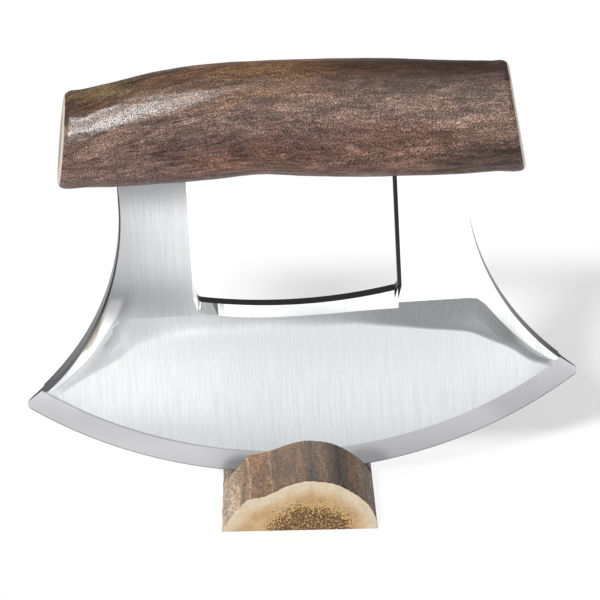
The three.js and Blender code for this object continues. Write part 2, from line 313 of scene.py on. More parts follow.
# Coordinates that wander a little, so that patches have natural edges.
def wandering(tree, vector, scale, reach):
    cloud = noise(tree, vector, scale, 5, 0.65, output=1)
    centred = vectorMaths(tree, "SUBTRACT", cloud, (0.5, 0.5, 0.5))
    scaled = addNode(tree, "ShaderNodeVectorMath", {0: centred, "Scale": reach}, operation="SCALE").outputs[0]
    return vectorMaths(tree, "ADD", vector, scaled)


# Shared effects

# Bark: streaks, fibres and speckle, all drawn out along the vector's x.
def barkGroup():
    group, given, out = newGroup(
        "antler bark", {"Vector": None, "Streak Scale": 300.0, "Speckle Scale": 3200.0},
        ["Streaks", "Fibres", "Speckle", "Height"],
    )
    drawn = mapping(group, given["Vector"], scale=(0.3, 1, 1))
    veryDrawn = mapping(group, given["Vector"], scale=(0.14, 1, 1))
    lightlyDrawn = mapping(group, given["Vector"], scale=(0.9, 1, 1))
    streaks = noise(group, drawn, given["Streak Scale"], 7, 0.72, 0.9)
    fibres = noise(group, veryDrawn, product(group, given["Speckle Scale"], 0.42), 3, 0.65, 0.6)
    speckle = noise(group, lightlyDrawn, given["Speckle Scale"], 2, 0.7)
    height = maths(group, "ADD", streaks, product(group, speckle, 0.5))
    height = maths(group, "ADD", height, product(group, fibres, 0.4))
    for name, value in {"Streaks": streaks, "Fibres": fibres, "Speckle": speckle, "Height": height}.items():
        group.links.new(value, out[name])
    return group


# Sawn antler: a cream rim by its distance in metres from the bark, tan inside it, porous marrow.
def sawnGroup():
    group, given, out = newGroup(
        "sawn antler", {"Vector": None, "From Bark": 0.0, "Rim": 0.003, "Marrow": 0.0},
        ["Color", "Height", "Roughness"],
    )
    wobble = noise(group, given["Vector"], 260, 4, 0.6)
    centred = maths(group, "SUBTRACT", wobble, 0.5)
    shift = product(group, centred, 0.0036)
    depth = maths(group, "ADD", given["From Bark"], shift)
    intoTan = ranged(group, maths(group, "DIVIDE", depth, given["Rim"]), 0.3, 1.3)
    rings = noise(group, given["Vector"], 900, 3, 0.6)
    cream = ramp(group, rings, [(0.3, colour(176, 159, 133)), (0.7, colour(192, 180, 157))])
    tan = ramp(group, noise(group, given["Vector"], 420, 6, 0.65), [
        (0.32, colour(156, 124, 84)), (0.5, colour(170, 140, 100)), (0.68, colour(183, 158, 121)),
    ])
    marrow = maths(group, "ADD", given["Marrow"], product(group, centred, 0.9))
    holes = noise(group, given["Vector"], 2000, 2, 0.6, 0.6)
    reach = ranged(group, marrow, 0.05, 1.0, 0.34, 0.53)
    pores = ranged(group, maths(group, "SUBTRACT", reach, holes), -0.035, 0.045)
    pores = product(group, pores, ranged(group, given["Marrow"], 0.0, 0.1))
    lattice = ramp(group, noise(group, given["Vector"], 800, 3, 0.6), [
        (0.35, colour(150, 114, 66)), (0.65, colour(186, 156, 108)),
    ])
    inside = mixed(group, ranged(group, marrow, 0.1, 0.6), tan, lattice)
    inside = mixed(group, pores, inside, colour(80, 54, 28))
    tone = mixed(group, intoTan, cream, inside)
    group.links.new(tone, out["Color"])
    group.links.new(product(group, pores, -1.0), out["Height"])
    group.links.new(ranged(group, marrow, 0.1, 0.5, 0.36, 0.7), out["Roughness"])
    return group


# Brush marks on steel that run along the vector's z.
def brushGroup():
    group, given, out = newGroup("brush marks", {"Vector": None, "Fine": 1.0}, ["Height", "Mask"])
    short = mapping(group, given["Vector"], scale=(1, 1, 0.06))
    long = mapping(group, given["Vector"], scale=(1, 1, 0.035))
    fine = noise(group, short, product(group, given["Fine"], 4200), 2, 0.6)
    coarse = noise(group, long, product(group, given["Fine"], 2000), 3, 0.75)
    height = maths(group, "ADD", product(group, fine, 0.5), product(group, coarse, 0.5))
    group.links.new(height, out["Height"])
    group.links.new(coarse, out["Mask"])
    return group


effects = {"bark": barkGroup(), "sawn": sawnGroup(), "brush": brushGroup()}


# The bark's streaks, fibres and speckle each multiply the tone.
def grained(tree, bark, tone, grain):
    for name, stops in grain.items():
        tone = mixed(tree, 1.0, tone, ramp(tree, bark[name], stops), "MULTIPLY")
    return tone


# Materials

bladeSizes = {
    "edgeRadius": 126 * mm,
    "bevelWidth": 7 * mm,
    "flareCentre": Vector((122.7, 0, 87.2)) * mm,
    "flareRadius": 75.1 * mm,
    "windowHalfWidth": 27.7 * mm,
    "facetFoot": 50.2 * mm,
    "creaseAngle": math.radians(3.2),
    "wallCreaseAngle": math.radians(35),
    "mergeDistance": 0.002 * mm,
    # how much of a face's normal is along y: less in a wall, less in a chamfer or rim, more on the
    # flat of the plate
    "wallFacing": 0.3,
    "chamferFacing": 0.955,
    "flatFacing": 0.99999,
    "windowReach": 32 * mm,
}


def knifeCoordinates(tree, coordinates):
    turned = mapping(tree, coordinates, location=tuple(-knifeFoot))
    return mapping(tree, turned, rotation=(0, knifeRoll, 0))


# Centre and size in millimetres in the knife's frame, tone and strength
handlePatches = [
    ((-30, -12, 125), (46, 14, 5), (92, 68, 50), 0.7),
    ((-56, -4, 124), (12, 12, 3), (126, 106, 72), 0.75),
    ((-56, -8, 119.5), (14, 14, 3), (62, 42, 30), 0.8),
    ((-10, -8, 126), (40, 14, 3), (92, 68, 54), 0.45),
    ((18, 1, 126), (44, 7, 4), (118, 84, 52), 0.75),
    ((46, -4, 126), (34, 14, 6), (44, 28, 22), 0.95),
    ((36, -12, 117), (40, 16, 5), (94, 78, 69), 0.6),
    ((2, -13, 114), (34, 16, 5), (98, 78, 70), 0.5),
    ((-45, -14, 99), (24, 20, 8), (80, 60, 58), 0.7),
    ((-8, -14, 104), (18, 20, 6), (118, 80, 60), 0.6),
    ((-20, -14, 96), (24, 20, 4), (100, 72, 60), 0.5),
    ((22, -14, 112), (16, 20, 3), (100, 72, 64), 0.5),
    ((28, -14, 107), (18, 20, 5), (112, 82, 66), 0.5),
    ((22, -14, 99), (28, 20, 4), (112, 84, 70), 0.5),
    ((40, -14, 95), (14, 20, 3), (116, 86, 68), 0.5),
    ((-54, -14, 104), (16, 20, 8), (114, 92, 82), 0.55),
    ((53, -14, 99), (14, 20, 8), (58, 42, 36), 0.75),
    ((56, -12, 110), (9, 20, 4), (106, 86, 74), 0.6),
    ((-12, -14, 109), (30, 20, 4), (70, 50, 50), 0.5),
    ((-40, -3, 92.4), (24, 12, 1.1), (214, 202, 184), 0.9),
    ((0, -14, 98), (20, 20, 4), (78, 56, 52), 0.5),
]


handleGrain = {
    "Streaks": [(0.36, (0.52, 0.51, 0.51)), (0.6, (1.12, 1.12, 1.1))],
    "Fibres": [(0.34, (0.6, 0.58, 0.57)), (0.5, (0.96, 0.96, 0.96)), (0.66, (1.5, 1.5, 1.48))],
    "Speckle": [(0.37, (0.2, 0.19, 0.19)), (0.5, (0.84, 0.84, 0.84)), (0.61, (2.5, 2.5, 2.46))],
}


def handleBarkMaterial():
    material, tree, shader, coordinates = newMaterial("polished antler bark")
    place = knifeCoordinates(tree, coordinates)
    flow = meshValue(tree, "barkFlow", "Vector")
    bark = placeGroup(tree, effects["bark"], {"Vector": flow})
    tone = ramp(tree, bark["Streaks"], [
        (0.3, colour(57, 42, 37)), (0.42, colour(79, 60, 53)), (0.54, colour(97, 77, 69)),
        (0.7, colour(115, 95, 86)),
    ])

    # The patches wander along the grain.
    drawn = mapping(tree, flow, scale=(0.45, 1, 1))
    drift = vectorMaths(tree, "SUBTRACT", wandering(tree, drawn, 300, 9 * mm), drawn)
    loose = vectorMaths(tree, "ADD", place, drift)
    for centre, size, patch, strength in handlePatches:
        mask = spot(tree, loose, [c * mm for c in centre], [1.5 * side * mm for side in size])
        speckled = product(tree, mask, ranged(tree, bark["Speckle"], 0.35, 0.6, 0.55, 1))
        tone = mixed(tree, product(tree, speckled, strength), tone, colour(*patch))
    tone = grained(tree, bark, tone, handleGrain)
    shine = meshValue(tree, "barkShine")
    ridge = meshValue(tree, "barkRidge")
    rough = ranged(tree, bark["Speckle"], 0.3, 0.7, 0.5, 0.34)
    shader.inputs["Specular IOR Level"].default_value = 0.25
    glazed = ranged(tree, bark["Speckle"], 0.42, 0.56, 0.1, 1)
    tree.links.new(product(tree, shine, glazed), shader.inputs["Coat Weight"])
    shader.inputs["Coat Roughness"].default_value = 0.16
    shader.inputs["Coat IOR"].default_value = 2.0
    height = maths(tree, "ADD", product(tree, bark["Height"], 0.2 * mm), ridge)
    surfaced(tree, shader, tone, rough, height, 1.0)
    return material


# Across the stand in millimetres from its middle, the tone there and how high the bark stands.
# The two pale streaks are thin: painted highlights along raised ridges of the bark.
standBands = [
    (-21.7, (178, 161, 148), 0.5), (-16.5, (158, 138, 120), 0.4),
    (-14.1, (126, 101, 77), 0.9), (-13.7, (150, 134, 116), 1.0),
    (-13.2, (116, 88, 60), 0.3),
    (-9, (112, 81, 52), 0.5), (-8, (120, 92, 62), 0.9), (-7.7, (136, 114, 92), 1.0),
    (-7.3, (116, 86, 58), 0.7), (-6, (96, 68, 42), 0.4), (1, (104, 75, 47), 0.8),
    (3.8, (54, 35, 19), 0.1), (6.5, (98, 71, 44), 0.8), (9.6, (62, 43, 26), 0.5),
    (11.8, (40, 26, 15), 0.0), (15.5, (94, 74, 55), 0.8), (19, (116, 99, 86), 0.7),
    (21.7, (100, 83, 72), 0.6),
]


standGrain = {
    "Streaks": [(0.34, (0.42, 0.4, 0.38)), (0.62, (1.38, 1.36, 1.33))],
    "Fibres": [(0.34, (0.72, 0.7, 0.68)), (0.5, (1, 1, 1)), (0.66, (1.22, 1.2, 1.18))],
    "Speckle": [(0.37, (0.2, 0.19, 0.18)), (0.5, (0.7, 0.7, 0.68)), (0.61, (2.2, 2.15, 2.0))],
}


def standBarkMaterial():
    material, tree, shader, coordinates = newMaterial("stand bark")
    place = mapping(tree, coordinates, rotation=(0, 0, math.pi / 2))
    bark = placeGroup(tree, effects["bark"], {"Vector": place})
    loose = wandering(tree, mapping(tree, coordinates, scale=(1, 0.4, 1)), 260, 2.2 * mm)
    across = separated(tree, loose)[0]
    left, right = standBands[0][0], standBands[-1][0]
    share = maths(tree, "DIVIDE", maths(tree, "SUBTRACT", across, left * mm), (right - left) * mm)
    places = [(x - left) / (right - left) for x, _, _ in standBands]
    tone = ramp(tree, share, [(at, colour(*patch)) for at, (_, patch, _) in zip(places, standBands)])
    flutes = ramp(tree, share, [(at, (high,) * 3) for at, (_, _, high) in zip(places, standBands)])
    tone = grained(tree, bark, tone, standGrain)
    rough = ranged(tree, bark["Speckle"], 0.3, 0.7, 0.5, 0.34)
    shader.inputs["Specular IOR Level"].default_value = 0.14
    height = product(tree, bark["Height"], 0.3)
    height = maths(tree, "ADD", height, product(tree, flutes, 0.4))
    surfaced(tree, shader, tone, rough, height, 0.8 * mm)
    return material


def sawnMaterial(name, rim, centre, size, paintedSheen=0.0, onKnife=False):
    material, tree, shader, coordinates = newMaterial(name)
    place = knifeCoordinates(tree, coordinates) if onKnife else coordinates
    fromBark = meshValue(tree, "fromBark")
    marrow = spot(tree, place, centre, size)
    sawn = placeGroup(tree, effects["sawn"], {
        "Vector": place, "From Bark": fromBark, "Rim": rim, "Marrow": marrow,
    })
    # The handle's sawn ends are mixed towards a pale grey: a painted sheen.
    tone = mixed(tree, paintedSheen, sawn["Color"], colour(196, 186, 180))
    surfaced(tree, shader, tone, sawn["Roughness"], sawn["Height"], 0.35 * mm)
    return material


# Where a point of the blade is: x, z, its distance inside the cutting edge and inside the flare.
def bladePlace(tree, place, s):
    parts = separated(tree, place)

    def distance(x, z):
        squares = maths(tree, "ADD", product(tree, x, x), product(tree, z, z))
        return maths(tree, "SQRT", squares)

    toEdge = distance(parts[0], maths(tree, "SUBTRACT", parts[2], s["edgeRadius"]))
    flareX = maths(tree, "SUBTRACT", s["flareCentre"].x, maths(tree, "ABSOLUTE", parts[0]))
    toFlare = distance(flareX, maths(tree, "SUBTRACT", parts[2], s["flareCentre"].z))
    fromEdge = maths(tree, "SUBTRACT", s["edgeRadius"], toEdge)
    return parts[0], parts[2], fromEdge, maths(tree, "SUBTRACT", toFlare, s["flareRadius"])


# Where the painted reflections and painted shade on the steel begin and end: by height, or by the distance
# inside the flare, inside the edge or from the middle, and then what they run from and to
paintedSteelReflections = {
    "left": (-22 * mm, -30 * mm),
    "leftArm": (42 * mm, 45 * mm),
    "paintedStreakPlace": 3 * mm,
    "paintedStreakWidth": (43 * mm, 56 * mm, 0.3 * mm, 2.1 * mm),
    "paintedStreakTop": (58 * mm, 60.5 * mm, 1, 0),
    "paintedRimTop": (66 * mm, 56 * mm),
    "paintedRimInside": (9 * mm, 5 * mm),
    "paintedWarmTop": (56 * mm, 52 * mm),
    "paintedWarmInside": (2.6 * mm, 1.2 * mm),
    "roundingWidth": (75 * mm, 35 * mm, 0.45 * mm, 1.1 * mm),
    "roundingFoot": (6.4 * mm, 7.2 * mm),
    "bevelLine": (0.12 * mm, 0.32 * mm, 0.6, 0),
    "bevelLineAcross": (0, -40 * mm, 0.1, 1),
    "edgeLine": (0.15 * mm, 0.4 * mm, 0.8, 0),
}


def steelMaterial(name, tone, roughness, marks, anisotropic=0.0, paintedLeftReflections=False, evenness=0.93):
    material, tree, shader, coordinates = newMaterial(name)
    place = knifeCoordinates(tree, coordinates)
    brush = placeGroup(tree, effects["brush"], {"Vector": place})
    shader.inputs["Metallic"].default_value = 1
    shader.inputs["Anisotropic"].default_value = anisotropic
    across = addNode(tree, "ShaderNodeCombineXYZ", {0: math.cos(knifeRoll), 2: math.sin(knifeRoll)})
    tree.links.new(across.outputs[0], shader.inputs["Tangent"])
    dull = tuple(share * evenness for share in tone[:3]) + (1,)
    steel = mixed(tree, ranged(tree, brush["Mask"], 0.38, 0.6), dull, tone)
    fromMiddle, up, fromEdge, fromFlare = bladePlace(tree, place, bladeSizes)

    # Painted reflections on the left: the left arm and its rim are painted duller, warmer near the flare's
    # edge, and a pale painted highlight streak runs along the flare.
    s = paintedSteelReflections
    leftSide = ranged(tree, fromMiddle, *s["left"])
    if paintedLeftReflections:
        onLeft = product(tree, leftSide, ranged(tree, up, *s["leftArm"]))
        fromPaintedStreak = maths(tree, "ABSOLUTE", maths(tree, "SUBTRACT", fromFlare, s["paintedStreakPlace"]))
        fromPaintedStreak = maths(tree, "DIVIDE", fromPaintedStreak, ranged(tree, up, *s["paintedStreakWidth"]))
        paintedStreak = ranged(tree, fromPaintedStreak, 0.5, 1.1, 1, 0)
        paintedStreak = product(tree, paintedStreak, ranged(tree, up, *s["paintedStreakTop"]), onLeft)
        # The rim's painted shade, with a warm painted reflection near the flare's edge.
        rim = ranged(tree, fromFlare, *s["paintedRimInside"])
        rim = product(tree, ranged(tree, up, *s["paintedRimTop"]), rim, onLeft)
        paintedWarmReflection = ranged(tree, up, *s["paintedWarmTop"])
        paintedWarmReflection = product(tree, ranged(tree, fromFlare, *s["paintedWarmInside"]), paintedWarmReflection)
        paintedRimShade = mixed(tree, paintedWarmReflection, (0.72, 0.73, 0.745, 1), (0.42, 0.36, 0.27, 1))
        steel = mixed(tree, rim, steel, mixed(tree, 1.0, steel, paintedRimShade, "MULTIPLY"))
        steel = mixed(tree, paintedStreak, steel, (1, 1, 1, 1))

    # The rim's rounded edge is painted dark on the left, wider towards the tip: a painted dark reflection.
    paintedEdgeShade = maths(tree, "DIVIDE", fromFlare, ranged(tree, up, *s["roundingWidth"]))
    paintedEdgeShade = ranged(tree, paintedEdgeShade, 0.8, 1.2, 1, 0)
    paintedEdgeShade = product(tree, paintedEdgeShade, leftSide, ranged(tree, fromEdge, *s["roundingFoot"]))
    steel = mixed(tree, paintedEdgeShade, steel, (0.12, 0.12, 0.13, 1))

    # A thin painted dark line where the bevel begins, clearest on the left, and one on the edge itself:
    # painted dark reflections.
    line = maths(tree, "ABSOLUTE", maths(tree, "SUBTRACT", fromEdge, bladeSizes["bevelWidth"]))
    paintedDarkLines = ranged(tree, line, *s["bevelLine"])
    paintedDarkLines = product(tree, paintedDarkLines, ranged(tree, fromMiddle, *s["bevelLineAcross"]))
    paintedDarkLines = maths(tree, "MAXIMUM", paintedDarkLines, ranged(tree, fromEdge, *s["edgeLine"]))
    steel = mixed(tree, paintedDarkLines, steel, (0.25, 0.25, 0.27, 1))
    rough = ranged(tree, brush["Mask"], 0.3, 0.7, roughness * 1.12, roughness * 0.9)
    surfaced(tree, shader, steel, rough, brush["Height"], marks * mm)
    return material


def resinMaterial():
    material, tree, shader, coordinates = newMaterial("cured resin")
    cloudy = noise(tree, coordinates, 350, 4, 0.6)
    tone = ramp(tree, cloudy, [(0.3, colour(38, 26, 16)), (0.7, colour(70, 50, 32))])
    rough = ranged(tree, cloudy, 0.3, 0.7, 0.2, 0.34)
    surfaced(tree, shader, tone, rough, noise(tree, coordinates, 900, 2), 0.1 * mm, 0.5)
    return material


materials = {
    "handleBark": handleBarkMaterial(),
    "standBark": standBarkMaterial(),
    "handleSawn": sawnMaterial("handle's sawn ends", 3 * mm, (0, 0, 0.1076), (1, 0.009, 0.0115), 0.6, True),
    "standSawn": sawnMaterial("stand's sawn faces", 4 * mm, (0.003, 0, 0.0005), (0.0155, 1, 0.0105)),
    "brushed": steelMaterial("brushed steel", (0.86, 0.87, 0.89, 1), 0.26, 0.006, 0.75, True),
    "satin": steelMaterial("satin steel", (0.86, 0.87, 0.89, 1), 0.12, 0.003, 0.6, True),
    "polished": steelMaterial("polished steel", (0.9, 0.905, 0.91, 1), 0.08, 0.001, evenness=0.98),
    "bevel": steelMaterial("ground bevel", (0.71, 0.71, 0.735, 1), 0.16, 0.0005, 0.4, evenness=0.98),
    # The plate's cut walls are painted nearly black: a painted dark reflection.
    "paintedDarkWall": steelMaterial("cut edge of the steel, painted dark", (0.05, 0.05, 0.055, 1), 0.25, 0.002),
    "resin": resinMaterial(),
}
print("materials made")


# Blade: a merged copy of the plate, which has the grinds already

def makeBlade(s):
    blade = addObject("ulu_blade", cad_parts["blade"].data.copy())
    makeActive(blade)
    editAll()
    bpy.ops.mesh.customdata_custom_splitnormals_clear()
    bpy.ops.mesh.remove_doubles(threshold=s["mergeDistance"])
    objectMode()
    bpy.ops.object.shade_smooth_by_angle(angle=s["creaseAngle"])

    # The walls of the plate are smooth round their curves.
    mesh = bmesh.new()
    mesh.from_mesh(blade.data)
    for edge in mesh.edges:
        walls = all(abs(face.normal.y) < s["wallFacing"] for face in edge.link_faces)
        if walls and edge.calc_face_angle(0) < s["wallCreaseAngle"]:
            edge.smooth = True
    mesh.to_mesh(blade.data)
    mesh.free()

    def finishOf(polygon):
        centre = toKnife @ polygon.center
        normal = polygon.normal
        radius = math.hypot(centre.x, centre.z - s["edgeRadius"])
        byWindow = 0 < centre.x < s["windowReach"] and centre.z > s["facetFoot"]
        if abs(normal.y) < s["wallFacing"] or (normal.x < -s["wallFacing"] and byWindow):
            return 4
        onFacet = abs(centre.x) < s["windowHalfWidth"] and centre.z > s["facetFoot"]
        if abs(normal.y) < s["chamferFacing"] or onFacet:
            return 1
        if radius > s["edgeRadius"] - s["bevelWidth"] - slack:
            return 2
        if abs(normal.y) > s["flatFacing"]:
            return 3
        return 0

    finishes = ("brushed", "polished", "bevel", "satin", "paintedDarkWall")
    setFinishes(blade, finishes, finishOf)
    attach(blade, "knife")
    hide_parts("blade")
    return blade


makeBlade(bladeSizes)
print("blade made")


# Handle: a length of antler, extruded ring by ring along its own irregular line

handleSizes = {
    "length": 124.4 * mm,
    "height": 34.3 * mm,
    "depth": 27.6 * mm,
    "centreX": 0.2 * mm,
    "centreHeight": 109.2 * mm,
    "endRounding": 2.0 * mm,
    # how far the left and the right end lean in at the top
    "endLean": (4.9 * mm, 3.3 * mm),
    # a ridge's rise, its place and how far it winds in half turns, and its width in radians
    "ridge": 0.9 * mm,
    "ridgeTurn": (0.82, 0.3),
    "ridgeWidth": 0.35,
    "endInsets": (0.8 * mm, 1.0 * mm, 1.3 * mm, 1.4 * mm),
    # a sawn end's faces: how near the end, and how far their normals turn left or right
    "endReach": 6 * mm,
    "endFacing": (-0.8, 0.75),
    # the carving begins this far from an end and is full this much farther in
    "carvedFrom": 2 * mm,
    "carvedOver": 4 * mm,
    # grain, how far it is drawn out along the handle, depth and octaves of each carving
    "carvings": [(5 * mm, 6, 0.6 * mm, 2), (1.6 * mm, 7, 0.25 * mm, 3)],
    "sides": 64,
    "rings": 52,
    # place along the length, then centre height and half height as shares
    "stations": [
        [0, -0.03, 0.805], [0.1, -0.015, 0.88], [0.2, 0.02, 0.95], [0.31, 0.045, 0.98],
        [0.43, 0.058, 0.96], [0.52, 0.037, 0.985], [0.62, 0.01, 1.005], [0.75, -0.015, 1.0],
        [0.88, -0.045, 0.968], [1, -0.065, 0.925],
    ],
    # place along the length, then how far in degrees the grain has wound up the front
    "grain": [[0, -52], [0.11, -30], [0.25, -18], [0.4, -12], [0.7, 0], [1, 4]],
    "grainRadius": 15 * mm,
    # place along the length, foot and crest in degrees up the front, rise in millimetres, shine
    "wornRidge": [
        [0, 13, 52, 0.1, 1], [0.04, 16.5, 44.5, 0.3, 1], [0.08, 24, 48, 0.6, 1], [0.125, 28.5, 55, 0.8, 1],
        [0.17, 32.5, 61.5, 0.9, 0.9], [0.25, 35, 64, 0.8, 0.6], [0.33, 42, 71.5, 0.5, 0.35],
        [0.4, 50, 79, 0.3, 0.15], [0.6, 62, 88, 0.1, 0], [1, 70, 95, 0, 0],
    ],
    "ridgeFall": 32,
    "flankPower": 1.6,
    # middle and reach of the shine's two bands, as shares of the flank
    "shineBands": ((0.25, 0.35), (0.95, 0.15)),
    "grainCrest": 80,
    "creaseAngle": math.radians(50),
    "tangCentre": 37.65 * mm,
    "mortise": Vector((22.7, 7.2, 40)) * mm,
    "mortiseTop": 113 * mm,
}


def handleRing(s, place):
    rise, half = atPlace(s["stations"], place)
    leftLean, rightLean = s["endLean"]
    lean = math.atan((leftLean * (1 - place) - rightLean * place) / s["height"])
    centre = Vector((s["centreX"] + (place - 0.5) * s["length"], 0, s["centreHeight"] + rise * s["height"]))
    return centre, half, lean


def makeHandle(s):
    deselectAll()
    centre, half, lean = handleRing(s, 0)
    bpy.ops.mesh.primitive_circle_add(
        vertices=s["sides"], radius=0.5, fill_type="NGON", location=centre, rotation=(0, math.pi / 2, 0),
    )
    handle = bpy.context.object
    handle.name = "antler_handle"
    bpy.ops.object.transform_apply(location=True, rotation=True, scale=True)
    editAll("FACE")
    bpy.ops.transform.resize(value=(1, half * s["depth"], half * s["height"]), center_override=centre)
    bpy.ops.transform.rotate(value=-lean, orient_axis="Y", center_override=centre)
    for ring in range(1, s["rings"] + 1):
        lastCentre, lastHalf, lastLean = centre, half, lean
        centre, half, lean = handleRing(s, ring / s["rings"])
        bpy.ops.mesh.extrude_region_move(TRANSFORM_OT_translate={"value": centre - lastCentre})
        bpy.ops.transform.resize(value=(1, half / lastHalf, half / lastHalf), center_override=centre)
        bpy.ops.transform.rotate(value=lastLean - lean, orient_axis="Y", center_override=centre)
    bpy.ops.mesh.select_all(action="SELECT")
    bpy.ops.mesh.normals_make_consistent(inside=False)

    # The ridge winds from the front at the left end to the top at the right.
    mesh = bmesh.from_edit_mesh(handle.data)
    for vertex in mesh.verts:
        place = min(max((vertex.co.x - s["centreX"]) / s["length"] + 0.5, 0), 1)
        middle = handleRing(s, place)[0]
        out = Vector((0, vertex.co.y, vertex.co.z - middle.z))
        angle = math.atan2(out.z / s["height"], out.y / s["depth"]) % (2 * math.pi)
        start, winding = s["ridgeTurn"]
        ridge = math.exp(-(((angle - math.pi * (start - winding * place)) / s["ridgeWidth"]) ** 2))
        vertex.co += out.normalized() * ridge * s["ridge"]
    bmesh.update_edit_mesh(handle.data)

    # Both sawn ends are eased and then drawn in by rings.
    pickFaces(handle, lambda face: len(face.verts) > 4)
    bpy.ops.mesh.bevel(offset=s["endRounding"], segments=4, affect="EDGES")
    for inset in s["endInsets"]:
        pickFaces(handle, lambda face: len(face.verts) > 4)
        bpy.ops.mesh.inset(thickness=inset, use_individual=True)
    objectMode()
    smoothing = handle.modifiers.new("smooth", "SUBSURF")
    smoothing.levels = smoothing.render_levels = 2
    applyModifiers(handle)
    standWithKnife(handle)

    sides = handle.vertex_groups.new(name="sides")
    for vertex in handle.data.vertices:
        fromEnd = s["length"] / 2 - abs((toKnife @ vertex.co).x - s["centreX"])
        sides.add([vertex.index], min(max((fromEnd - s["carvedFrom"]) / s["carvedOver"], 0), 1), "REPLACE")
    for grain, drawnOut, depth, octaves in s["carvings"]:
        carve(handle, grain, drawnOut, depth, octaves, "sides")
    for hand in (-1, 1):
        high = s["mortiseTop"] - s["mortise"].z / 2
        block = addBlock(s["mortise"], (hand * s["tangCentre"], 0, high))
        standWithKnife(block)
        cutWith(handle, block)
    makeActive(handle)
    bpy.ops.object.shade_smooth_by_angle(angle=s["creaseAngle"])
    return handle


# Keeps, on each sawn face, how far its points are from the bark.
def measureFromBark(obj):
    polygons = obj.data.polygons
    sawn = {v for polygon in polygons if polygon.material_index == 1 for v in polygon.vertices}
    bark = {v for polygon in polygons if polygon.material_index == 0 for v in polygon.vertices}
    border = sorted(sawn & bark)
    tree = KDTree(len(border))
    for index, v in enumerate(border):
        tree.insert(obj.data.vertices[v].co, index)
    tree.balance()
    values = [0.0] * len(obj.data.vertices)
    for v in sawn:
        values[v] = tree.find(obj.data.vertices[v].co)[2]
    keepOn(obj.data, "fromBark", values)


# The grain winds up the front of the handle from its left end to its top.
def followGrain(handle, s):
    values, ridges, shines = [], [], []
    for vertex in handle.data.vertices:
        point = toKnife @ vertex.co
        place = min(max((point.x - s["centreX"]) / s["length"] + 0.5, 0), 1)
        middle = handleRing(s, place)[0]
        height = math.atan2((point.z - middle.z) / s["height"], -point.y / s["depth"])
        fade = 0.5 + 0.5 * math.cos(height - math.radians(s["grainCrest"]))
        winding = atPlace(s["grain"], place)[0] * fade
        turned = height - math.radians(winding)
        values += [point.x, -s["grainRadius"] * math.cos(turned), s["grainRadius"] * math.sin(turned)]

        # A worn ridge: it rises from its foot to its crest and falls away above it.
        foot, crest, rise, shine = atPlace(s["wornRidge"], place)
        share = (math.degrees(height) - foot) / (crest - foot)
        above = (math.degrees(height) - crest) / s["ridgeFall"]
        flank = min(max(share, 0), 1) ** s["flankPower"]
        if above >= 0:
            flank = 0.5 + 0.5 * math.cos(math.pi * min(above, 1))
        ridges.append(rise * flank * mm)
        band = sum(max(1 - abs(share - middle) / reach, 0) for middle, reach in s["shineBands"])
        shines.append(max(shine, 0) * min(max(3.2 - abs(share - 0.5) * 5.5, 0), 1) * min(0.5 + band, 1))
    keepOn(handle.data, "barkFlow", values, "FLOAT_VECTOR", "vector")
    keepOn(handle.data, "barkRidge", ridges)
    keepOn(handle.data, "barkShine", shines)


def finishHandle(handle, s):
    def finishOf(polygon):
        centre = toKnife @ polygon.center
        normal = knifePlace.to_3x3().inverted() @ polygon.normal
        nearEnd = abs(abs(centre.x - s["centreX"]) - s["length"] / 2) < s["endReach"]
        toLeft, toRight = s["endFacing"]
        if nearEnd and (normal.x < toLeft or normal.x > toRight):
            return 1
        fromMortise = abs(abs(centre.x) - s["tangCentre"]) - s["mortise"].x / 2
        fromMortise = max(fromMortise, abs(centre.y) - s["mortise"].y / 2, centre.z - s["mortiseTop"])
        return 2 if fromMortise < slack else 0

    finishes = ("handleBark", "handleSawn", "handleBark")
    setFinishes(handle, finishes, finishOf)
    measureFromBark(handle)
    followGrain(handle, s)
    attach(handle, "knife")
    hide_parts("handle")


finishHandle(makeHandle(handleSizes), handleSizes)
print("handle made")


# Resin beds round the tangs

for name in ("left_tang_epoxy", "right_tang_epoxy"):
    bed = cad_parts[name]
    bed.data.materials.clear()
    bed.data.materials.append(materials["resin"])
print("resin made")


# Stand: a slice of antler, its arch extruded from the front face to the back

standSizes = {
    "width": 43.4 * mm,
    "height": 15.6 * mm,
    "length": 50 * mm,
    "slotWidth": 2.4 * mm,
    "slotFloor": 4.3 * mm,
    "skin": 0.36 * mm,
    # across and up, as shares of the half width and the height
    "arch": [
        [-1, 0], [-0.97, 0.1], [-0.88, 0.31], [-0.75, 0.53], [-0.68, 0.64], [-0.57, 0.68], [-0.45, 0.71],
        [-0.31, 0.81], [-0.15, 0.92], [0.08, 1], [0.38, 0.96], [0.58, 0.84], [0.75, 0.67], [0.88, 0.49],
        [0.97, 0.24], [1, 0],
    ],
    # place from front to back, then width and height as shares
    "sections": [[0, 1, 1], [0.25, 0.99, 0.985], [0.5, 0.975, 0.975], [0.75, 0.965, 0.97], [1, 0.955, 0.96]],
    # the dip beside the crown fades towards the back: its place and width as shares of the half width
    "dip": (-0.48, 0.2),
    "backRise": 2.2 * mm,
    "backRiseFrom": 4 * mm,
    "archPoints": 72,
    # how far a sawn face's normal turns, how near an end it is, and how near the slot its walls are
    "sawnFacing": 0.7,
    "endReach": 1 * mm,
    "slotReach": 0.3 * mm,
    "creaseAngle": math.radians(40),
}


